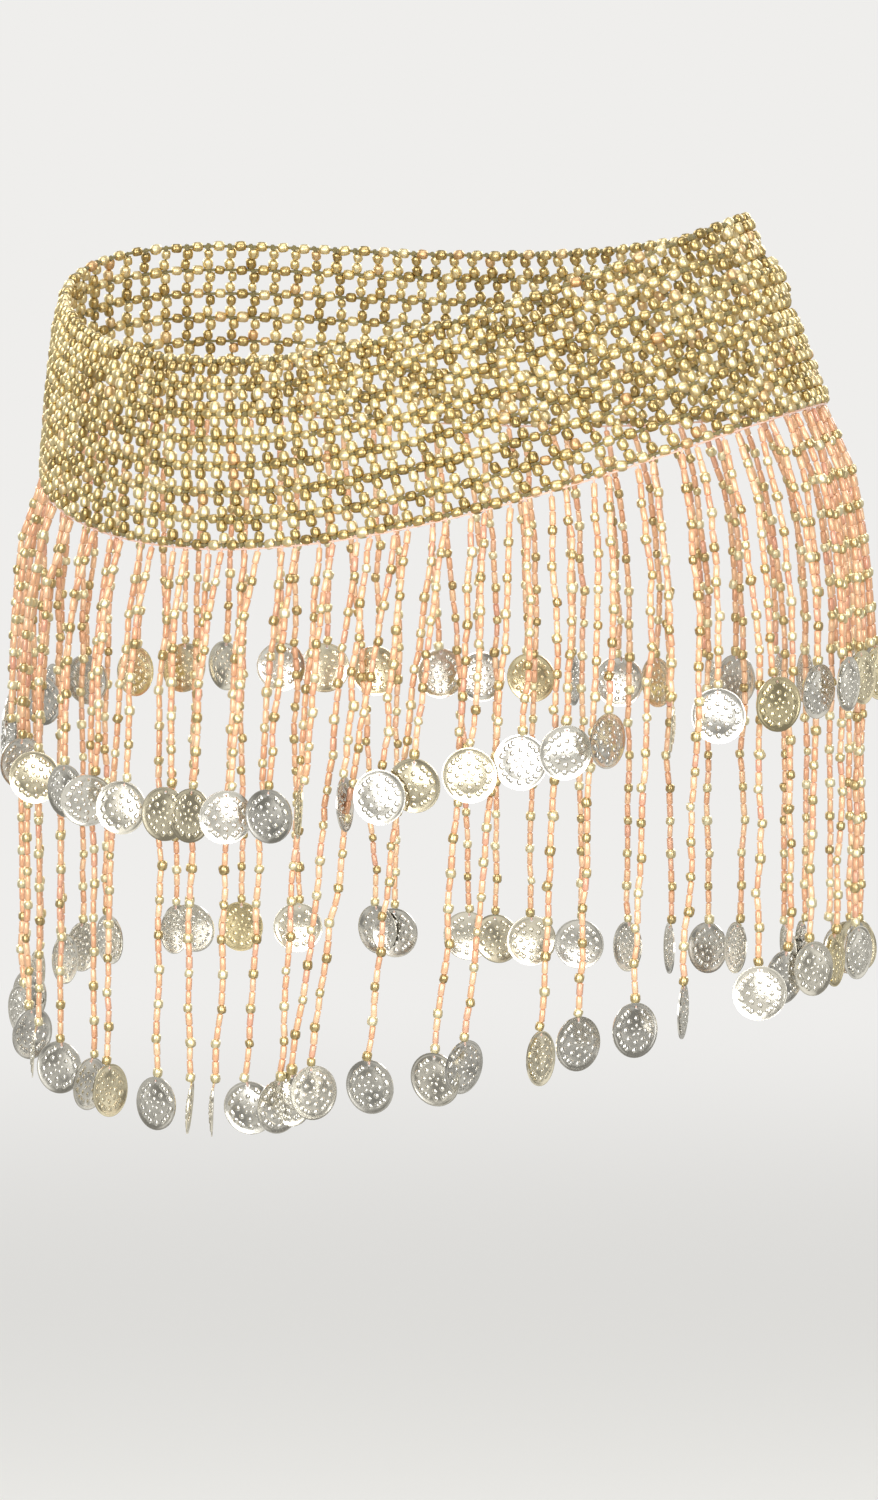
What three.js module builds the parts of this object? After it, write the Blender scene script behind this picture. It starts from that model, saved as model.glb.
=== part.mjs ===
// A stretchy beaded belly dance hip belt, worn and hanging, in millimetres.
// +Z is up, -Y is the wearer's front and +X is the wearer's left.
// The origin is the middle of the hips, where the wearer holds the belt up.
//
// Every piece is a closed wall that goes once round the hips. The band is a net of beads
// between two bead ropes, and under it hang two tiers of bead strands, each with its coins.

import * as THREE from 'three';

// Driving dimensions

const ROUND_STEPS = 60; // facets round the hips
const SEAM = 0.3; // gap between neighbouring pieces

const BAND_DROP = 70.2; // height of the netted band
const ROPE_DROP = 3.7; // height of one bead rope at the band's edges
const BAND_WALL = 4; // a bead and the thread round it

const THREAD_SIZE = 1.2; // the loop of thread that the strands are tied to

const STRAND_WALL = 3.4; // one bead thick
const LONG_STRAND_DROP = 195;
const SHORT_STRAND_DROP = 90;
const COIN_DROP = 20; // a coin's diameter
const COIN_REACH = 6; // how far the turned coins reach through their tier

// The general figure under the belt: one row for each level, as half widths and a centre.
const LEVELS = {
  rim: { halfWidth: 148.5, halfDepth: 93.5, centreX: -9.5, centreY: -8 },
  lowerEdge: { halfWidth: 166.5, halfDepth: 113, centreX: -4.5, centreY: -2.7 },
  hips: { halfWidth: 180, halfDepth: 124, centreX: -3, centreY: 0 },
};
const HIP_SWELL_DROP = 85; // from the band's lower edge down to the widest hips

// How the belt is worn: higher on the wearer's left hip, scooped in front, low at the back.
const RIM_HEIGHT = 54.5;
const SIDE_LIFT = 10.5;
const FRONT_SCOOP = 52;
const FRONT_SCOOP_POWER = 2.4;
const BACK_SCOOP = 20;
const BACK_SCOOP_POWER = 3;

// How soon the band swells below its rim: at once over the right hip, evenly over the left.
const SWELL_POWER = 0.68;
const SWELL_POWER_CHANGE = 0.22;
const SWELL_TURN = THREE.MathUtils.degToRad(20);

// The form

function rimHeight(turn) {
  const front = (1 + Math.cos(turn)) / 2;
  const back = (1 - Math.cos(turn)) / 2;
  const scoop = FRONT_SCOOP * front ** FRONT_SCOOP_POWER + BACK_SCOOP * back ** BACK_SCOOP_POWER;
  return RIM_HEIGHT + SIDE_LIFT * Math.sin(turn) - scoop;
}

function mixLevels(upper, lower, share) {
  const mix = (key) => THREE.MathUtils.lerp(upper[key], lower[key], share);
  return {
    halfWidth: mix('halfWidth'),
    halfDepth: mix('halfDepth'),
    centreX: mix('centreX'),
    centreY: mix('centreY'),
  };
}

function sectionAt(turn, drop) {
  if (drop <= BAND_DROP) {
    const power = SWELL_POWER + SWELL_POWER_CHANGE * Math.sin(turn - SWELL_TURN);
    const share = (Math.max(drop, 0) / BAND_DROP) ** power;
    return mixLevels(LEVELS.rim, LEVELS.lowerEdge, share);
  }
  const fall = Math.min((drop - BAND_DROP) / HIP_SWELL_DROP, 1);
  return mixLevels(LEVELS.lowerEdge, LEVELS.hips, fall * (2 - fall));
}

// A point of the form. turn goes round from the front towards the wearer's left, and drop is
// how far below the rim it lies.
function formPoint(turn, drop) {
  const section = sectionAt(turn, drop);
  const x = section.centreX + section.halfWidth * Math.sin(turn);
  const y = section.centreY - section.halfDepth * Math.cos(turn);
  return new THREE.Vector3(x, y, rimHeight(turn) - drop);
}

// The horizontal direction that faces out of the form.
function outward(turn, drop) {
  const section = sectionAt(turn, drop);
  const x = Math.sin(turn) / section.halfWidth;
  const y = -Math.cos(turn) / section.halfDepth;
  return new THREE.Vector3(x, y, 0).normalize();
}

// A wall all round the form

function makeWall({ top, bottom, rows, inside, outside }) {
  const corners = [];
  const drops = [];
  for (let row = 0; row <= rows; row += 1) {
    drops.push(THREE.MathUtils.lerp(top, bottom, row / rows));
  }
  // The loop of one section: down the outer face, then up the inner one.
  const loop = [
    ...drops.map((drop) => ({ drop, offset: outside })),
    ...drops.toReversed().map((drop) => ({ drop, offset: inside })),
  ];
  for (let step = 0; step < ROUND_STEPS; step += 1) {
    const turn = (2 * Math.PI * step) / ROUND_STEPS;
    for (const { drop, offset } of loop) {
      const corner = formPoint(turn, drop).addScaledVector(outward(turn, drop), offset);
      corners.push(corner.x, corner.y, corner.z);
    }
  }
  const triangles = [];
  const size = loop.length;
  for (let step = 0; step < ROUND_STEPS; step += 1) {
    const here = step * size;
    const next = ((step + 1) % ROUND_STEPS) * size;
    for (let place = 0; place < size; place += 1) {
      const after = (place + 1) % size;
      triangles.push(here + place, here + after, next + after);
      triangles.push(here + place, next + after, next + place);
    }
  }
  const geometry = new THREE.BufferGeometry();
  geometry.setAttribute('position', new THREE.Float32BufferAttribute(corners, 3));
  geometry.setIndex(triangles);
  geometry.computeVertexNormals();
  return geometry;
}

// Finishes

const FINISHES = {
  goldBeads: { color: 0xcdbd84, roughness: 0.28, metalness: 0.85 },
  threads: { color: 0xe6cdb8, roughness: 0.7, metalness: 0 },
  strandBeads: { color: 0xe3c79c, roughness: 0.35, metalness: 0.5 },
  coins: { color: 0xc9c3a2, roughness: 0.2, metalness: 1 },
};

const belt = new THREE.Group();

function addPiece(name, finish, shape) {
  const piece = new THREE.Mesh(makeWall(shape), new THREE.MeshStandardMaterial(FINISHES[finish]));
  piece.name = name;
  belt.add(piece);
}

// Pieces of the band, from its rim down

const bandHalf = BAND_WALL / 2;
const netTop = ROPE_DROP + SEAM;
const netBottom = BAND_DROP - ROPE_DROP - SEAM;

addPiece('band_top_rope', 'goldBeads', {
  top: 0,
  bottom: ROPE_DROP,
  rows: 1,
  inside: -bandHalf,
  outside: bandHalf,
});
addPiece('band_net', 'goldBeads', {
  top: netTop,
  bottom: netBottom,
  rows: 6,
  inside: -bandHalf,
  outside: bandHalf,
});
addPiece('band_lower_rope', 'goldBeads', {
  top: BAND_DROP - ROPE_DROP,
  bottom: BAND_DROP,
  rows: 1,
  inside: -bandHalf,
  outside: bandHalf,
});

const threadTop = BAND_DROP + SEAM;
const threadBottom = threadTop + THREAD_SIZE;

addPiece('hanging_thread', 'threads', {
  top: threadTop,
  bottom: threadBottom,
  rows: 1,
  inside: -THREAD_SIZE / 2,
  outside: THREAD_SIZE / 2,
});

// The fringe: the short tier lies over the long one

const strandHalf = STRAND_WALL / 2;
const fringeTop = threadBottom + SEAM;
const shortInside = strandHalf + SEAM;

const TIERS = [
  {
    tier: 'long',
    strandDrop: LONG_STRAND_DROP,
    rows: 8,
    inside: -strandHalf,
    outside: strandHalf,
    coinInside: -COIN_REACH / 2,
    coinOutside: COIN_REACH / 2,
  },
  {
    tier: 'short',
    strandDrop: SHORT_STRAND_DROP,
    rows: 5,
    inside: shortInside,
    outside: shortInside + STRAND_WALL,
    coinInside: shortInside,
    coinOutside: shortInside + COIN_REACH,
  },
];

for (const tier of TIERS) {
  const strandBottom = fringeTop + tier.strandDrop;
  const coinTop = strandBottom + SEAM;
  addPiece(`${tier.tier}_strands`, 'strandBeads', {
    top: fringeTop,
    bottom: strandBottom,
    rows: tier.rows,
    inside: tier.inside,
    outside: tier.outside,
  });
  addPiece(`${tier.tier}_coins`, 'coins', {
    top: coinTop,
    bottom: coinTop + COIN_DROP,
    rows: 1,
    inside: tier.coinInside,
    outside: tier.coinOutside,
  });
}

export default belt;
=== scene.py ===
import bisect
import math
import random

import bmesh
import bpy
import numpy as np
from mathutils import Matrix, Vector


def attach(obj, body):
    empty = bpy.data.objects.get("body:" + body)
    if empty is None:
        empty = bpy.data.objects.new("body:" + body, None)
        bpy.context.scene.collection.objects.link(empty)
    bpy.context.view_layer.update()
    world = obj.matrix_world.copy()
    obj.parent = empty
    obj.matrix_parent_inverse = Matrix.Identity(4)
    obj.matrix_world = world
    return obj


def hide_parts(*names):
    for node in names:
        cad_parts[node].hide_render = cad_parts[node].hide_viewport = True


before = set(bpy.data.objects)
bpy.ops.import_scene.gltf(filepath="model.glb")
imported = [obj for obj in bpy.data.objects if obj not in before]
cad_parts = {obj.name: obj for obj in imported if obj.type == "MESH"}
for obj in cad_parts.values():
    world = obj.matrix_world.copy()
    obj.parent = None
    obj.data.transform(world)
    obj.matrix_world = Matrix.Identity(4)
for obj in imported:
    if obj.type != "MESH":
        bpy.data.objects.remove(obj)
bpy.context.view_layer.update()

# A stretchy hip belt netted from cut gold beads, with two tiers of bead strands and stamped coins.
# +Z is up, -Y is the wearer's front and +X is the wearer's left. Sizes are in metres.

MM = 0.001
chance = random.Random(11)

# ---------------------------------------------------------------- sizes of the belt

COLUMNS = 100  # bars of the net, and one strand under each
HOLE_ROWS = 7
BEAD = 4.0 * MM  # a cut bead of the net, across and along
STRAND_BEAD_SHARE = 0.9  # the strands' cut beads are this much smaller
BAND_DROP = 70.2 * MM
ROPE_DROP = 3.7 * MM
THREAD = 0.55 * MM
FRINGE_TOP = BAND_DROP + 1.8 * MM
LONG_DROP = 195 * MM
SHORT_DROP = 90 * MM
LONG_START = (0.9 * MM, 13 * MM)  # bare thread, then the first cut bead, below the band
SHORT_START = (0.3 * MM, 11 * MM)
TIER_GAP = 3.7 * MM  # how far the short tier lies outside the long one
COIN = 20 * MM
COIN_SHEET = 0.5 * MM
COIN_HOLE_RISE = 8.1 * MM  # from the coin's middle up to its hole
TUBE = 2.35 * MM  # a tube bead, across
TUBE_LENGTH = 4.5 * MM

# The general figure under the belt: half width, half depth and centre at three levels.
RIM = (148.5 * MM, 93.5 * MM, -9.5 * MM, -8 * MM)
LOWER_EDGE = (166.5 * MM, 113 * MM, -4.5 * MM, -2.7 * MM)
HIPS = (180 * MM, 124 * MM, -3 * MM, 0)
HIP_SWELL_DROP = 85 * MM

# How far each stretch of the fringe leans towards the wearer's right, in degrees, and how far
# the thighs' swell draws up its short and its long strands, in millimetres.
HANG = (
    # turn from the front, lean, short strands, long strands
    (-180, 0, 0, 0),
    (-75, 0, 0, 0),
    (-40, 1, 3, 0),
    (-8, 0, 5, 0),
    (12, 6, 4, 0),
    (27, 9, 6, 1),
    (42, 5.5, 9, 3),
    (60, 2.5, 7, 4),
    (85, 0.5, 4, 6),
    (180, 0, 0, 0),
)
LEAN, SHORT_RISE, LONG_RISE = 1, 2, 3  # columns of the table above

# ---------------------------------------------------------------- the worn form


def rim_height(turn):
    front = (1 + math.cos(turn)) / 2
    back = (1 - math.cos(turn)) / 2
    scoop = 52 * front**2.4 + 20 * back**3
    return (54.5 + 10.5 * math.sin(turn) - scoop) * MM


def section(turn, drop):
    """Half width, half depth and centre of the form, this far below the rim."""
    if drop <= BAND_DROP:
        power = 0.68 + 0.22 * math.sin(turn - math.radians(20))
        upper, lower, share = RIM, LOWER_EDGE, (max(drop, 0) / BAND_DROP) ** power
    else:
        fall = min((drop - BAND_DROP) / HIP_SWELL_DROP, 1)
        upper, lower, share = LOWER_EDGE, HIPS, fall * (2 - fall)
    return [a + (b - a) * share for a, b in zip(upper, lower)]


def on_form(turn, drop, proud=0.0):
    """A point this far round from the front, this far below the rim and this proud of the form."""
    width, depth, middle_x, middle_y = section(turn, drop)
    out = outward(turn, drop)
    x = middle_x + width * math.sin(turn)
    y = middle_y - depth * math.cos(turn)
    return Vector((x, y, rim_height(turn) - drop)) + out * proud


def outward(turn, drop):
    width, depth, _, _ = section(turn, drop)
    return Vector((math.sin(turn) / width, -math.cos(turn) / depth, 0)).normalized()


def mid_radius(turn):
    """How much of the band's girth one radian of turn takes, halfway down the band."""
    width, depth, _, _ = section(turn, BAND_DROP / 2)
    return math.hypot(width * math.cos(turn), depth * math.sin(turn))


def stretch(turn):
    """How far the net's columns are drawn apart: least in front of the left hip."""
    aside = math.degrees(turn + math.pi) % 360 - 180 - 30
    return 1 - 0.25 * math.exp(-((aside / 34) ** 2))


GIRTH_STEPS = 720
girth_so_far = [0.0]
for step in range(GIRTH_STEPS):
    middle_turn = 2 * math.pi * (step + 0.5) / GIRTH_STEPS
    cut_girth = mid_radius(middle_turn) / stretch(middle_turn) * 2 * math.pi / GIRTH_STEPS
    girth_so_far.append(girth_so_far[-1] + cut_girth)
GIRTH = girth_so_far[-1]


def turn_at(share):
    """The turn that lies this share of the unstretched girth round from the front."""
    whole = math.floor(share)
    wanted = (share - whole) * GIRTH
    step = min(bisect.bisect_right(girth_so_far, wanted) - 1, GIRTH_STEPS - 1)
    part = (wanted - girth_so_far[step]) / (girth_so_far[step + 1] - girth_so_far[step])
    return 2 * math.pi * (whole + (step + part) / GIRTH_STEPS)


def rim_slope(turn):
    nudge = 0.01
    rise = rim_height(turn + nudge) - rim_height(turn - nudge)
    return rise / (2 * nudge) / mid_radius(turn)


def column_turn(column, drop):
    """Columns stand square to the rows, so they lean where the rim slopes, and a little in front."""
    turn = turn_at(column / COLUMNS)
    slope = rim_slope(turn)
    aside = math.degrees(turn + math.pi) % 360 - 180 + 10
    skew = 0.13 * math.exp(-((aside / 40) ** 2))
    lean = (slope / (1 + slope * slope) + skew) / mid_radius(turn)
    return turn + lean * (drop - BAND_DROP / 2)


def hang_at(turn, column):
    """One column of the fringe's table, read between its rows."""
    degrees = math.degrees(turn + math.pi) % 360 - 180
    for before, after in zip(HANG, HANG[1:]):
        if before[0] <= degrees <= after[0]:
            part = (degrees - before[0]) / (after[0] - before[0])
            return before[column] + (after[column] - before[column]) * part
    return 0.0


# ---------------------------------------------------------------- modelling by hand


def start(add, **settings):
    """Adds one primitive, with nothing else selected."""
    bpy.ops.object.select_all(action="DESELECT")
    add(**settings)
    return bpy.context.object


def edit(piece, kind, test):
    """Opens the piece for editing, with only the faces or edges that pass the test selected."""
    bpy.ops.object.mode_set(mode="OBJECT")
    bpy.ops.object.select_all(action="DESELECT")
    piece.select_set(True)
    bpy.context.view_layer.objects.active = piece
    bpy.ops.object.mode_set(mode="EDIT")
    bpy.ops.mesh.select_mode(type=kind)
    bpy.ops.mesh.select_all(action="DESELECT")
    shape = bmesh.from_edit_mesh(piece.data)
    for part in shape.faces if kind == "FACE" else shape.edges:
        part.select_set(test(part))
    bmesh.update_edit_mesh(piece.data)


def done(piece):
    bpy.ops.object.mode_set(mode="OBJECT")
    return piece


def rim_of(depth):
    """Passes the edges round the two ends of a shape this deep."""
    return lambda edge: abs(sum(v.co.z for v in edge.verts)) > 0.98 * depth


def model_cut_bead():
    """An eight-sided bead with its rims cut back in two steps."""
    bead = start(bpy.ops.mesh.primitive_cylinder_add, vertices=8, radius=BEAD / 2, depth=BEAD)
    edit(bead, "EDGE", rim_of(BEAD))
    bpy.ops.mesh.bevel(offset=0.3 * BEAD, segments=2, affect="EDGES")
    return done(bead)


def model_tube_bead():
    """A short cut tube with softened rims."""
    tube = start(bpy.ops.mesh.primitive_cylinder_add, vertices=8, radius=TUBE / 2, depth=TUBE_LENGTH)
    edit(tube, "EDGE", rim_of(TUBE_LENGTH))
    bpy.ops.mesh.bevel(offset=0.32 * MM, segments=1, affect="EDGES")
    return done(tube)


def model_knot():
    """The wrap of thread where four beads meet. Its dark olive finish is partly the thread's own colour and
    partly painted shade in the gap between the beads.
    """
    knot = start(bpy.ops.mesh.primitive_uv_sphere_add, segments=6, ring_count=4, radius=1.2 * MM)
    edit(knot, "FACE", lambda face: abs(face.normal.z) < 0.5)
    bpy.ops.mesh.inset(thickness=0.12 * MM, depth=-0.12 * MM)
    return done(knot)


# The stamped field inside the coin's rim: how wide each step inwards is, and how far it rises.
FIELD_STEPS = ((0.25 * MM, -0.14 * MM), (2.8 * MM, 0.54 * MM), (2.8 * MM, 0.38 * MM), (2.2 * MM, 0.12 * MM))
COIN_RIM = 0.8 * MM
STUD_RISE = 0.5 * MM
STUD_SINK = 0.1 * MM


def field_rise(ring_radius):
    """How far the stamped field has risen, this far out from the coin's middle."""
    outer, rise = COIN / 2 - COIN_RIM, 0
    for width, step_rise in FIELD_STEPS:
        share = min(max((outer - ring_radius) / width, 0), 1)
        outer, rise = outer - width, rise + step_rise * share
    return rise


def stud(radius, height, place, stretch, turn):
    """A small raised boss on the coin, round or drawn out into a petal."""
    return start(
        bpy.ops.mesh.primitive_uv_sphere_add,
        segments=6,
        ring_count=6,
        radius=radius,
        location=place,
        rotation=(0, 0, turn),
        scale=(stretch, 1, height / radius),
    )


def ring_of_studs(count, ring_radius, radius, face=1, stretch=1.0, first=0):
    """Studs round the coin from its top, without the first few where the hole comes."""
    made = []
    height = face * (COIN_SHEET / 2 - STUD_SINK)
    height += field_rise(ring_radius) if face > 0 else field_back(ring_radius)
    for number in range(first, count):
        turn = math.pi / 2 + 2 * math.pi * number / count
        place = (ring_radius * math.cos(turn), ring_radius * math.sin(turn), height)
        made.append(stud(radius, STUD_RISE, place, stretch, turn))
    return made


def field_back(ring_radius):
    """The same rise on the coin's back, where the stamped field is hollow."""
    return field_rise(ring_radius) + 2 * 0.14 * MM


def model_coin():
    """A stamped, slightly domed disc with a raised rim, rings of studs and a five-petalled flower."""
    coin = start(bpy.ops.mesh.primitive_cylinder_add, vertices=40, radius=COIN / 2, depth=COIN_SHEET)
    for side in (1, -1):
        edit(coin, "FACE", lambda face: side * face.normal.z > 0.9)
        bpy.ops.mesh.inset(thickness=COIN_RIM, depth=0)
        for number, (width, rise) in enumerate(FIELD_STEPS):
            bpy.ops.mesh.inset(thickness=width, depth=rise if number == 0 else side * rise)
    done(coin)
    cut_hole(coin, (0, COIN_HOLE_RISE, 0), 0.6 * MM)
    bosses = ring_of_studs(14, 7.2 * MM, 1.2 * MM, stretch=1.1, first=1)
    bosses += ring_of_studs(10, 7.0 * MM, 1.2 * MM, face=-1, first=1)
    bosses += ring_of_studs(8, 4.3 * MM, 1.15 * MM)
    bosses += ring_of_studs(5, 1.7 * MM, 0.65 * MM, stretch=1.5)
    bpy.ops.object.select_all(action="DESELECT")
    for piece in [coin, *bosses]:
        piece.select_set(True)
    bpy.context.view_layer.objects.active = coin
    bpy.ops.object.join()
    return coin


def cut_hole(piece, place, radius):
    """Cuts a small round hole right through, along the piece's own Z."""
    punch = start(bpy.ops.mesh.primitive_cylinder_add, vertices=8, radius=radius, depth=5 * MM, location=place)
    cut = piece.modifiers.new("hole", "BOOLEAN")
    cut.operation = "DIFFERENCE"
    cut.solver = "EXACT"
    cut.object = punch
    bpy.ops.object.select_all(action="DESELECT")
    piece.select_set(True)
    bpy.context.view_layer.objects.active = piece
    bpy.ops.object.modifier_apply(modifier=cut.name)
    bpy.data.objects.remove(punch)


# ---------------------------------------------------------------- laying copies


def standing(place, along, out, size=(1, 1, 1)):
    """A place for a copy: its own Z runs along, and its own Y faces out."""
    along = along.normalized()
    side = out.cross(along).normalized()
    facing = along.cross(side)
    turned = Matrix((side, facing, along)).transposed()
    return Matrix.Translation(place) @ turned.to_4x4() @ Matrix.Diagonal((*size, 1))


def grid_cell(number, count):
    """The corner and width of one copy's own square of the shared map."""
    across = math.ceil(math.sqrt(count))
    return (number % across) / across, (number // across) / across, 1 / across


def lay(name, pattern, places, smooth=None):
    """Copies a modelled pattern to every place, as one joined mesh."""
    shape = pattern.data
    corners = np.array([v.co for v in shape.vertices])
    faces = [tuple(face.vertices) for face in shape.polygons]
    chart = np.array([spot.uv for spot in shape.uv_layers.active.data])
    points, joined, charts, tones = [], [], [], []
    for number, place in enumerate(places):
        matrix = np.array(place)
        first = number * len(corners)
        points.append(corners @ matrix[:3, :3].T + matrix[:3, 3])
        joined.extend(tuple(first + corner for corner in face) for face in faces)
        left, low, width = grid_cell(number, len(places))
        charts.append((0.04 + 0.92 * chart) * width + (left, low))
        tones.extend([chance.random()] * len(faces))
    mesh = bpy.data.meshes.new(name)
    mesh.from_pydata(np.concatenate(points), [], joined)
    mesh.uv_layers.new(name="OFBake")
    mesh.uv_layers["OFBake"].data.foreach_set("uv", np.concatenate(charts).ravel())
    tone = mesh.attributes.new("tone", "FLOAT", "FACE")
    tone.data.foreach_set("value", tones)
    piece = bpy.data.objects.new(name, mesh)
    bpy.context.collection.objects.link(piece)
    if smooth is not None:
        bpy.ops.object.select_all(action="DESELECT")
        piece.select_set(True)
        bpy.context.view_layer.objects.active = piece
        bpy.ops.object.shade_smooth_by_angle(angle=math.radians(smooth))
    return piece


def chart_pattern(pattern):
    """Unwraps a pattern once, so that every copy brings its map along."""
    edit(pattern, "FACE", lambda face: True)
    bpy.ops.mesh.select_all(action="SELECT")
    bpy.ops.uv.smart_project(angle_limit=math.radians(66), island_margin=0.02)
    return done(pattern)


def run_thread(name, runs, width, sides=5, closed=False):
    """Threads along lists of points, as one joined mesh of thin tubes."""
    points, faces = [], []
    for run in runs:
        first = len(points)
        count = len(run)
        for number, point in enumerate(run):
            after = run[(number + 1) % count] if closed else run[min(number + 1, count - 1)]
            before = run[number - 1] if closed else run[max(number - 1, 0)]
            along = (after - before).normalized()
            side = along.cross(Vector((0.3, 0.2, 1)) if abs(along.z) < 0.8 else Vector((1, 0.2, 0)))
            side.normalize()
            up = side.cross(along)
            for corner in range(sides):
                turn = 2 * math.pi * corner / sides
                points.append(point + (side * math.cos(turn) + up * math.sin(turn)) * width / 2)
        for number in range(count if closed else count - 1):
            here, there = first + number * sides, first + (number + 1) % count * sides
            for corner in range(sides):
                after = (corner + 1) % sides
                faces.append((here + corner, there + corner, there + after, here + after))
        if not closed:
            faces.append(tuple(range(first + sides - 1, first - 1, -1)))
            end = first + (count - 1) * sides
            faces.append(tuple(range(end, end + sides)))
    mesh = bpy.data.meshes.new(name)
    mesh.from_pydata(points, [], faces)
    shape = bmesh.new()
    shape.from_mesh(mesh)
    bmesh.ops.recalc_face_normals(shape, faces=shape.faces)
    shape.to_mesh(mesh)
    shape.free()
    mesh.polygons.foreach_set("use_smooth", [True] * len(mesh.polygons))
    piece = bpy.data.objects.new(name, mesh)
    bpy.context.collection.objects.link(piece)
    return piece


# ---------------------------------------------------------------- finishes


def linear(hex_colour):
    """An sRGB hex value as linear light."""
    parts = [int(hex_colour[i : i + 2], 16) / 255 for i in (1, 3, 5)]
    return [p / 12.92 if p <= 0.04045 else ((p + 0.055) / 1.055) ** 2.4 for p in parts] + [1]


def node(finish, kind, inputs=None, **properties):
    """Adds a node. An input takes a value, or another node's output to link it to."""
    made = finish.node_tree.nodes.new(kind)
    for key, value in properties.items():
        setattr(made, key, value)
    for key, value in (inputs or {}).items():
        if isinstance(value, bpy.types.NodeSocket):
            finish.node_tree.links.new(value, made.inputs[key])
        else:
            made.inputs[key].default_value = value
    return made


def new_finish(name, kind="materials"):
    finish = getattr(bpy.data, kind).new(name)
    finish.use_nodes = True
    finish.node_tree.nodes.clear()
    return finish


def colour_steps(finish, factor, *stops):
    """Colours that change with a factor, each stop a place and a hex colour."""
    ramp = node(finish, "ShaderNodeValToRGB", {"Fac": factor})
    elements = ramp.color_ramp.elements
    while len(elements) < len(stops):
        elements.new(0.5)
    for element, (place, colour) in zip(elements, stops):
        element.position = place
        element.color = linear(colour)
    return ramp.outputs["Color"]


def seal(finish, shader):
    node(finish, "ShaderNodeOutputMaterial", {"Surface": shader.outputs[0]})
    return finish


def metallised_bead(name, *tones):
    """Vacuum-metallised cut beads: bright pale gold, each a little lighter, redder or duller. The spread of
    tones is partly real bead-to-bead tone and partly painted light: the duller olive copies stand in for beads
    in shade, the lighter cream ones for beads that catch the lamp, and a redder peach stop for warm light
    bounced onto some beads.
    """
    finish = new_finish(name)
    tone = node(finish, "ShaderNodeAttribute", attribute_name="tone").outputs["Fac"]
    colour = colour_steps(finish, tone, *tones)
    gloss = node(finish, "ShaderNodeMapRange", {"Value": tone, "To Min": 0.3, "To Max": 0.46})
    place = node(finish, "ShaderNodeTexCoord").outputs["Object"]
    grain = node(finish, "ShaderNodeTexNoise", {"Vector": place, "Scale": 900, "Detail": 2})
    dents = node(
        finish,
        "ShaderNodeBump",
        {"Height": grain.outputs["Fac"], "Strength": 0.25, "Distance": 0.1 * MM},
    )
    shader = node(
        finish,
        "ShaderNodeBsdfPrincipled",
        {
            "Base Color": colour,
            "Metallic": 1,
            "Roughness": gloss.outputs["Result"],
            "Normal": dents.outputs["Normal"],
        },
    )
    return seal(finish, shader)


def lustre_tube():
    """Pearl-lustre tube beads: peach cream glass with a soft shine down each tube. The pink in the peach stops
    is partly the glass's own colour and partly painted warm light bounced onto the tubes.
    """
    finish = new_finish("champagne_lustre_tube_glass")
    tone = node(finish, "ShaderNodeAttribute", attribute_name="tone").outputs["Fac"]
    # Peach stops: partly the glass's own colour, partly a painted warm reflection that tints the tubes pink.
    colour = colour_steps(
        finish, tone, (0.0, "#e0a883"), (0.4, "#eab88f"), (0.8, "#f3cba4"), (1.0, "#e0a58a")
    )
    place = node(finish, "ShaderNodeTexCoord").outputs["Object"]
    streaks = node(finish, "ShaderNodeTexNoise", {"Vector": place, "Scale": 700, "Detail": 3})
    gloss = node(
        finish,
        "ShaderNodeMapRange",
        {"Value": streaks.outputs["Fac"], "To Min": 0.2, "To Max": 0.42},
    )
    shader = node(
        finish,
        "ShaderNodeBsdfPrincipled",
        {
            "Base Color": colour,
            "Metallic": 0.3,
            "Roughness": gloss.outputs["Result"],
            "Coat Weight": 0.5,
            "Coat Roughness": 0.12,
        },
    )
    return seal(finish, shader)


def stamped_coin():
    """Thin sheet, stamped and flash plated in pale gold: mirror bright with a faint ripple."""
    finish = new_finish("stamped_pale_gold_plate")
    tone = node(finish, "ShaderNodeAttribute", attribute_name="tone").outputs["Fac"]
    colour = colour_steps(finish, tone, (0.0, "#d2d0ca"), (0.5, "#e6e3da"), (1.0, "#e6d8ae"))
    place = node(finish, "ShaderNodeTexCoord").outputs["Object"]
    ripple = node(finish, "ShaderNodeTexNoise", {"Vector": place, "Scale": 110, "Detail": 1.5})
    waves = node(
        finish,
        "ShaderNodeBump",
        {"Height": ripple.outputs["Fac"], "Strength": 0.5, "Distance": 0.7 * MM},
    )
    gloss = node(
        finish,
        "ShaderNodeMapRange",
        {"Value": ripple.outputs["Fac"], "To Min": 0.12, "To Max": 0.3},
    )
    shader = node(
        finish,
        "ShaderNodeBsdfPrincipled",
        {
            "Base Color": colour,
            "Metallic": 1,
            "Roughness": gloss.outputs["Result"],
            "Normal": waves.outputs["Normal"],
        },
    )
    return seal(finish, shader)


def twisted_thread(name, light, dark):
    """Twisted elastic thread: matt, with fine lighter and darker plies."""
    finish = new_finish(name)
    place = node(finish, "ShaderNodeTexCoord").outputs["Object"]
    plies = node(
        finish,
        "ShaderNodeTexWave",
        {"Vector": place, "Scale": 900, "Distortion": 2},
        bands_direction="DIAGONAL",
    )
    colour = colour_steps(finish, plies.outputs["Fac"], (0.0, dark), (1.0, light))
    shader = node(
        finish,
        "ShaderNodeBsdfPrincipled",
        {"Base Color": colour, "Roughness": 0.7, "Sheen Weight": 0.3},
    )
    return seal(finish, shader)


# ---------------------------------------------------------------- the net

cut_bead = chart_pattern(model_cut_bead())
tube_bead = chart_pattern(model_tube_bead())
knot = chart_pattern(model_knot())
coin = chart_pattern(model_coin())

ROW_PITCH = (BAND_DROP - ROPE_DROP) / HOLE_ROWS
ROPES = [ROPE_DROP / 2 + row * ROW_PITCH for row in range(HOLE_ROWS + 1)]


def soft_step(value, low, high):
    share = min(max((value - low) / (high - low), 0), 1)
    return share * share * (3 - 2 * share)


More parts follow.
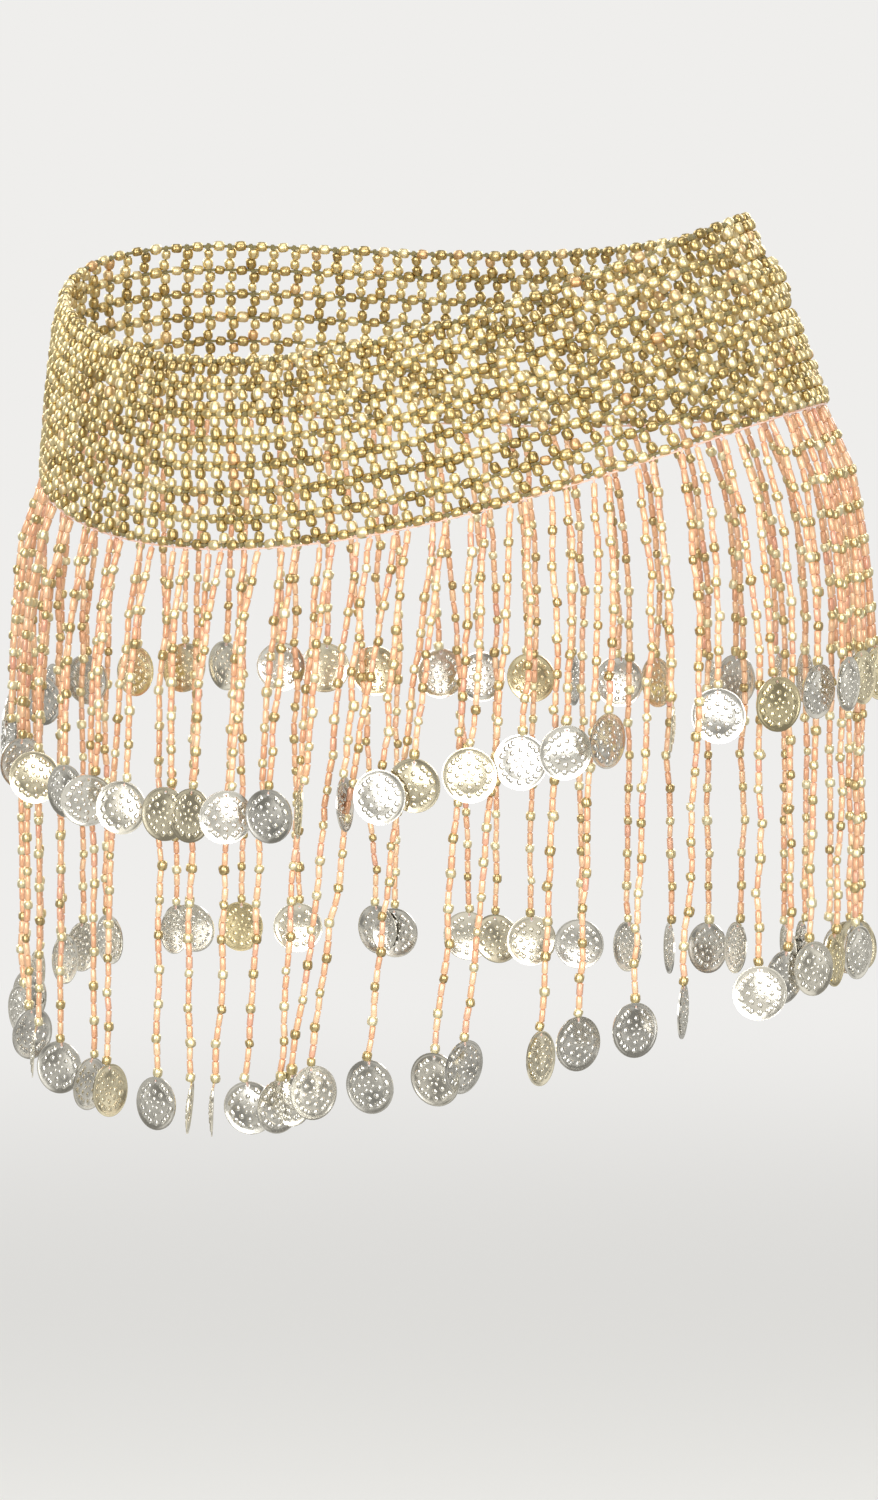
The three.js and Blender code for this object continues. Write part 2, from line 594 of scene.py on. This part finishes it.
def band_bulge(turn, drop):
    """Over the left hip the top rows grip tight, and the rows below them roll out in two folds."""
    nearness = math.exp(-(((math.degrees(turn) - 122) / 30) ** 2))
    below = drop / MM
    grip = 4.6 * (1 - soft_step(below, 14, 21))
    fold = 2.0 * math.exp(-(((below - 34.5) / 3.2) ** 2))
    flare = 1.4 * soft_step(below, 52, 70)
    return (flare - grip - fold) * nearness * MM


def on_band(column, drop, proud=0.0):
    turn = column_turn(column, drop)
    return on_form(turn, drop, proud + band_bulge(turn, drop)), outward(turn, drop)


def shaken(vector, amount):
    return vector + Vector([chance.gauss(0, amount) for _ in range(3)])


def bead_size(spread=0.05, flat=1.0, girth=1.0):
    size = girth * (1 + chance.gauss(0, spread))
    return size, size, size * flat


def spun(place):
    """Turns a copy about its own thread by any amount."""
    return place @ Matrix.Rotation(chance.uniform(0, 2 * math.pi), 4, "Z")


BAR_SLANT = 0.24  # how far each bar slants across its row, as a share of the column


def bar_beads(column):
    """Two beads in each bar beside a hole, from the rim down."""
    places = []
    for upper in ROPES[:-1]:
        for share in (0.275, 0.725):
            drop = upper + share * ROW_PITCH + chance.gauss(0, 0.12 * MM)
            aside = BAR_SLANT * (share - 0.5) + chance.gauss(0, 0.03)
            spot, out = on_band(column + aside, drop, chance.gauss(0.25 * MM, 0.15 * MM))
            below, _ = on_band(column, drop + MM)
            above, _ = on_band(column, drop - MM)
            along = shaken((below - above).normalized(), 0.1)
            places.append(spun(standing(spot, along, out, bead_size(flat=1.04))))
    return places


def rope_bead(column, drop):
    spot, out = on_band(column + 0.5, drop + chance.gauss(0, 0.15 * MM), chance.gauss(-0.2 * MM, 0.15 * MM))
    before, _ = on_band(column, drop)
    after, _ = on_band(column + 1, drop)
    along = shaken((after - before).normalized(), 0.1)
    return spun(standing(spot, along, out, bead_size(flat=1.1)))


BEAD_SMOOTHING = 50  # degrees between facets that the bead's polish softens
net_quarters = [[], [], [], []]
for column in range(COLUMNS):
    quarter = net_quarters[column * 4 // COLUMNS]
    quarter += bar_beads(column)
    quarter += [rope_bead(column, drop) for drop in ROPES[1:-1]]

# Net bead tones: partly real tone, partly painted light. The olive stops are painted shade, the cream stops
# painted highlight, and the last, peach stop is a painted warm reflection.
gold = metallised_bead(
    "metallised_pale_gold_net_bead", (0.0, "#ad9765"), (0.3, "#c9b27b"), (0.6, "#e3d09c"), (0.9, "#efe0b4"), (1.0, "#d8b080")
)
net_pieces = []
for number, places in enumerate(net_quarters):
    net_pieces.append(lay(f"net_beads_{number + 1}", cut_bead, places, BEAD_SMOOTHING))

top_places = [rope_bead(column, ROPES[0]) for column in range(COLUMNS)]
top_beads = lay("top_rope_beads", cut_bead, top_places, BEAD_SMOOTHING)
lower_places = [rope_bead(column, ROPES[-1]) for column in range(COLUMNS)]
lower_beads = lay("lower_rope_beads", cut_bead, lower_places, BEAD_SMOOTHING)


def knot_place(column, drop):
    spot, out = on_band(column, drop, 0.1 * MM)
    return standing(spot, shaken(Vector((0, 0, 1)), 0.3), out, bead_size(0.12))


knots = lay(
    "net_knots", knot, [knot_place(column, drop) for column in range(COLUMNS) for drop in ROPES], smooth=60
)

rope_threads = [
    [on_band(half / 2, drop, -0.1 * MM)[0] for half in range(2 * COLUMNS)] for drop in ROPES
]
threads_round = run_thread("net_threads_round", rope_threads, 2.2 * THREAD, closed=True)
THREAD_STEPS = 14
column_threads = [
    [
        on_band(column, ROPES[0] + (ROPES[-1] - ROPES[0]) * step / THREAD_STEPS)[0]
        for step in range(THREAD_STEPS + 1)
    ]
    for column in range(COLUMNS)
]
threads_down = run_thread("net_threads_down", column_threads, 1.8 * THREAD)

# ---------------------------------------------------------------- the fringe

SEGMENT = 13 * MM  # one cut bead and two tubes

swing = [chance.gauss(0, 1) for _ in range(COLUMNS)]


def soft_swing(column):
    """Neighbouring strands swing much alike."""
    near = [swing[(column + step) % COLUMNS] for step in (-2, -1, 0, 1, 2)]
    return sum(near) / len(near)


def hang_strand(column, length, proud, first_fall, rise):
    """The bends of one strand from the band down, each a point with its outward direction."""
    pair_shift = 0.15 if column % 2 == 0 else -0.15
    top_turn = column_turn(column + pair_shift, BAND_DROP)
    lean = math.radians(hang_at(top_turn, LEAN) + 1.2 * soft_swing(column) + chance.gauss(0, 1.2))
    sway_phase = chance.uniform(0, 2 * math.pi)
    sway = chance.uniform(0.3, 1.1) * MM
    radius = mid_radius(top_turn) * 1.12
    bends = []
    count = round((length - first_fall) / SEGMENT)
    reach = length - hang_at(top_turn, rise) * MM - first_fall
    falls = [0, *(first_fall + reach * step / count for step in range(count + 1))]
    for step, fall in enumerate(falls):
        wave = sway * math.sin(fall / (38 * MM) + sway_phase) - sway * math.sin(sway_phase)
        kink = chance.gauss(0, 0.45 * MM) if step else 0
        aside = -math.tan(lean) * fall + wave + kink
        turn = top_turn + aside / radius
        height_keep = rim_height(turn) - rim_height(top_turn)
        drop = BAND_DROP + 0.4 * MM + fall + height_keep
        wobble = chance.gauss(0, 0.35 * MM) if step else 0
        bends.append((on_form(turn, drop, proud * min(1, fall / (25 * MM)) + wobble), outward(turn, drop)))
    return bends


def strand_beads(bends, bare):
    """Cut beads at the bends and two tubes along each stretch, after a first bare one."""
    rounds, tubes = [], []
    head = bare
    for (upper, out), (lower, _) in zip(bends, bends[1:]):
        along = (lower - upper).normalized()
        side = out.cross(along)
        top = upper + along * head
        bottom = lower - along * BEAD * STRAND_BEAD_SHARE * 0.45
        joint = (top + bottom) / 2 + side * chance.gauss(0, 0.25 * MM)
        for tube_top, tube_bottom in ((top, joint), (joint, bottom)):
            line = tube_bottom - tube_top
            girth = 1 + chance.gauss(0, 0.05)
            size = (girth, girth, 0.97 * line.length / TUBE_LENGTH)
            tubes.append(spun(standing((tube_top + tube_bottom) / 2, line, out, size)))
        centre = lower + side * chance.gauss(0, 0.3 * MM)
        size = bead_size(0.06, girth=STRAND_BEAD_SHARE)
        rounds.append(spun(standing(centre, shaken(along, 0.16), out, size)))
        head = BEAD * STRAND_BEAD_SHARE * 0.45
    return rounds, tubes


def hang_coin(end, out, turned, proud):
    """A coin by its hole, under the strand's last bead, and the place of that hole."""
    facing = Matrix.Rotation(turned, 3, "Z") @ out
    facing = shaken(facing, 0.07).normalized()
    down = shaken(Vector((0, 0, -1)), 0.05)
    down = (down - facing * down.dot(facing)).normalized()
    centre = end + down * (BEAD * STRAND_BEAD_SHARE * 0.5 + COIN * 0.48) + out * proud
    turned_matrix = Matrix((facing.cross(down), -down, facing)).transposed()
    return Matrix.Translation(centre) @ turned_matrix.to_4x4(), centre - down * COIN_HOLE_RISE


coin_drift = [chance.uniform(0, 2 * math.pi) for _ in range(3)]


def coin_turn(column):
    """Coins lie shingled: neighbours turn alike, and some hang edge on, most of them in front."""
    front_share = math.exp(-((((column / COLUMNS + 0.5) % 1 - 0.47) / 0.11) ** 2))
    if chance.random() < 0.12 + 0.3 * front_share:
        return math.radians(chance.choice((-1, 1)) * chance.uniform(50, 85))
    waves = sum(
        math.sin(2 * math.pi * column * rate / COLUMNS + drift)
        for rate, drift in zip((5, 11, 17), coin_drift)
    )
    return math.radians(18 * waves + chance.gauss(0, 11))


tiers = {"long": ([], [], [], []), "short": ([], [], [], [])}
for column in range(COLUMNS):
    tier = "long" if column % 2 == 0 else "short"
    rounds, tubes, coins, ties = tiers[tier]
    long_one = tier == "long"
    length, proud = (LONG_DROP, 0) if long_one else (SHORT_DROP, TIER_GAP)
    bare, first_fall = LONG_START if long_one else SHORT_START
    bends = hang_strand(column, length, proud, first_fall, LONG_RISE if long_one else SHORT_RISE)
    strand_rounds, strand_tubes = strand_beads(bends, bare)
    rounds += strand_rounds
    tubes += strand_tubes
    end, out = bends[-1]
    step_out = 1.1 * MM if column % 4 < 2 else -1.1 * MM
    place, hole = hang_coin(end, out, coin_turn(column), step_out + (0 if long_one else 1.6 * MM))
    coins.append(place)
    edge, _ = on_band(column, ROPES[-1])
    ties.append([edge, (edge + bends[0][0]) / 2, *[point for point, _ in bends], hole])

# Strand bead tones: partly real tone, partly painted light. The darker stops stand in for beads in shade and
# the lighter ones for beads that catch the lamp.
strand_gold = metallised_bead(
    "metallised_gold_strand_bead", (0.0, "#c4ae7e"), (0.3, "#d9c592"), (0.6, "#ecdfb4"), (1.0, "#f6edc9")
)
tube_finish = lustre_tube()
coin_finish = stamped_coin()
tie_finish = twisted_thread("pale_pink_elastic_thread", "#ecc9b8", "#d6ab96")
# Dark olive for the knots and the net's threads: partly the thread's colour, partly painted shade where the
# beads meet.
thread_and_gap_shade_finish = twisted_thread("olive_thread_and_painted_gap_shade", "#8d8150", "#5b5230")

fringe = {}
for tier, (rounds, tubes, coins, ties) in tiers.items():
    fringe[tier] = {
        "rounds": lay(f"{tier}_strand_beads", cut_bead, rounds, BEAD_SMOOTHING),
        "tubes": lay(f"{tier}_strand_tubes", tube_bead, tubes, smooth=50),
        "coins": lay(f"{tier}_stamped_coins", coin, coins, smooth=50),
        "ties": run_thread(f"{tier}_strand_threads", ties, 1.6 * THREAD, sides=5),
    }

edge_line = [
    on_band(half / 2, BAND_DROP - 0.3 * MM, 0.3 * MM)[0] for half in range(2 * COLUMNS)
]
edge_thread = run_thread("edge_thread", [edge_line], 0.7 * MM, sides=6, closed=True)

for pattern in (cut_bead, tube_bead, knot, coin):
    bpy.data.objects.remove(pattern)

# ---------------------------------------------------------------- finishes and bodies


def finish_piece(piece, finish, slot_name, *nodes):
    piece.data.materials.clear()
    piece.data.materials.append(finish)
    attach(piece, "root")
    if nodes:
        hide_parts(*nodes)


for piece in net_pieces:
    finish_piece(piece, gold, "gold_beads", "band_net")
finish_piece(top_beads, gold, "gold_beads", "band_top_rope")
finish_piece(lower_beads, gold, "gold_beads", "band_lower_rope")
for piece in (knots, threads_round, threads_down):
    finish_piece(piece, thread_and_gap_shade_finish, "thread")
finish_piece(edge_thread, tie_finish, "thread", "hanging_thread")
for tier, made in fringe.items():
    finish_piece(made["rounds"], strand_gold, "gold_beads", f"{tier}_strands")
    finish_piece(made["tubes"], tube_finish, "strand_beads", f"{tier}_strands")
    finish_piece(made["coins"], coin_finish, "coins", f"{tier}_coins")
    finish_piece(made["ties"], tie_finish, "thread", f"{tier}_strands")

# ---------------------------------------------------------------- floor, light and camera

VIEW_AZIMUTH = math.radians(39.5)
VIEW_ELEVATION = math.radians(7)
VIEW_DISTANCE = 2.6
VIEW_HEIGHT = 0.57  # how much of the belt's plane the picture takes in
AIM = Vector((0, 0, -0.152))
FLOOR = -0.95
BACKDROP = "#efeeec"
PANELS = 5  # bright panels round the studio


def around(azimuth, elevation, distance):
    flat = math.cos(elevation) * distance
    return Vector((math.sin(azimuth) * flat, -math.cos(azimuth) * flat, math.sin(elevation) * distance))


bpy.ops.object.select_all(action="DESELECT")
bpy.ops.mesh.primitive_circle_add(vertices=64, radius=14, fill_type="NGON", location=(0, 0, FLOOR))
floor = bpy.context.object
floor.name = "studio_floor"


def pale_floor():
    """Matt white studio floor that fades into the backdrop, dim where beads and coins mirror it."""
    finish = new_finish("matt_white_studio_floor")
    ray = node(finish, "ShaderNodeLightPath")
    place = node(finish, "ShaderNodeTexCoord").outputs["Object"]
    far = node(finish, "ShaderNodeVectorMath", {0: place}, operation="LENGTH")
    fade = node(
        finish,
        "ShaderNodeMapRange",
        {"Value": far.outputs["Value"], "From Min": 1.2, "From Max": 4.5},
        interpolation_type="SMOOTHSTEP",
    )
    mottle = node(finish, "ShaderNodeTexNoise", {"Vector": place, "Scale": 0.4})
    colour = colour_steps(finish, mottle.outputs["Fac"], (0.3, "#efeeec"), (0.7, "#f3f3f2"))
    white = node(finish, "ShaderNodeBsdfPrincipled", {"Base Color": colour, "Roughness": 0.9})
    away = node(finish, "ShaderNodeEmission", {"Color": linear(BACKDROP)})
    swept = node(
        finish,
        "ShaderNodeMixShader",
        {0: fade.outputs["Result"], 1: white.outputs[0], 2: away.outputs[0]},
    )
    clouds = node(finish, "ShaderNodeTexNoise", {"Vector": place, "Scale": 0.9, "Detail": 1})
    shade = colour_steps(finish, clouds.outputs["Fac"], (0.38, "#84837f"), (0.6, "#f1efe9"))
    dim = node(finish, "ShaderNodeEmission", {"Color": shade})
    either = node(
        finish,
        "ShaderNodeMixShader",
        {0: ray.outputs["Is Glossy Ray"], 1: swept.outputs[0], 2: dim.outputs[0]},
    )
    return seal(finish, either)


floor.data.materials.append(pale_floor())


def studio_walls():
    """A pale backdrop to look at, with tall bright and dark panels that beads and coins mirror."""
    world = new_finish("studio_walls", "worlds")
    ray = node(world, "ShaderNodeLightPath")
    heading = node(world, "ShaderNodeTexCoord").outputs["Generated"]
    share_round = node(world, "ShaderNodeTexGradient", {"Vector": heading}, gradient_type="RADIAL")
    angle = node(
        world,
        "ShaderNodeMath",
        {0: share_round.outputs["Fac"], 1: 2 * math.pi * PANELS},
        operation="MULTIPLY",
    )
    wave = node(world, "ShaderNodeMath", {0: angle.outputs["Value"]}, operation="SINE")
    panel = node(
        world,
        "ShaderNodeMapRange",
        {"Value": wave.outputs["Value"], "From Min": -0.3, "From Max": 0.6},
        interpolation_type="SMOOTHSTEP",
    )
    mirrored = colour_steps(world, panel.outputs["Result"], (0.0, "#86847e"), (1.0, "#fdfbf5"))
    seen = node(world, "ShaderNodeBackground", {"Color": linear(BACKDROP)})
    dim = node(world, "ShaderNodeBackground", {"Color": linear("#a5a49f")})
    panels = node(world, "ShaderNodeBackground", {"Color": mirrored})
    unseen = node(
        world,
        "ShaderNodeMixShader",
        {0: ray.outputs["Is Glossy Ray"], 1: dim.outputs[0], 2: panels.outputs[0]},
    )
    either = node(
        world,
        "ShaderNodeMixShader",
        {0: ray.outputs["Is Camera Ray"], 1: unseen.outputs[0], 2: seen.outputs[0]},
    )
    node(world, "ShaderNodeOutputWorld", {"Surface": either.outputs[0]})
    return world


bpy.context.scene.world = studio_walls()


def soft_box(name, azimuth, elevation, distance, width, height, brightness):
    """A soft rectangular lamp, turned to the belt, this many times as bright as white."""
    lamp = bpy.data.lights.new(name, "AREA")
    lamp.shape = "RECTANGLE"
    lamp.size, lamp.size_y = width, height
    lamp.energy = brightness * math.pi * width * height
    holder = bpy.data.objects.new(name, lamp)
    bpy.context.collection.objects.link(holder)
    holder.location = AIM + around(VIEW_AZIMUTH + math.radians(azimuth), math.radians(elevation), distance)
    holder.rotation_euler = (AIM - holder.location).to_track_quat("-Z", "Y").to_euler()
    holder.visible_camera = False


soft_box("key_box", -22, 14, 2.2, 1.1, 1.7, 6)
soft_box("fill_box", 30, 8, 2.4, 1.0, 1.7, 5)
soft_box("top_box", 0, 78, 2.2, 1.6, 1.2, 2.5)
soft_box("back_box_left", 150, 24, 2.6, 1.0, 1.4, 5)
soft_box("back_box_right", -140, 24, 2.6, 1.0, 1.4, 5)

camera = bpy.data.cameras.new("camera")
camera.sensor_width = 36
camera.lens = camera.sensor_width * VIEW_DISTANCE / VIEW_HEIGHT
holder = bpy.data.objects.new("camera", camera)
bpy.context.collection.objects.link(holder)
holder.location = AIM + around(VIEW_AZIMUTH, VIEW_ELEVATION, VIEW_DISTANCE)
holder.rotation_euler = (AIM - holder.location).to_track_quat("-Z", "Y").to_euler()
camera.clip_end = 60
bpy.context.scene.camera = holder

settings = bpy.context.scene.view_settings
settings.view_transform = "Standard"
settings.look = "None"
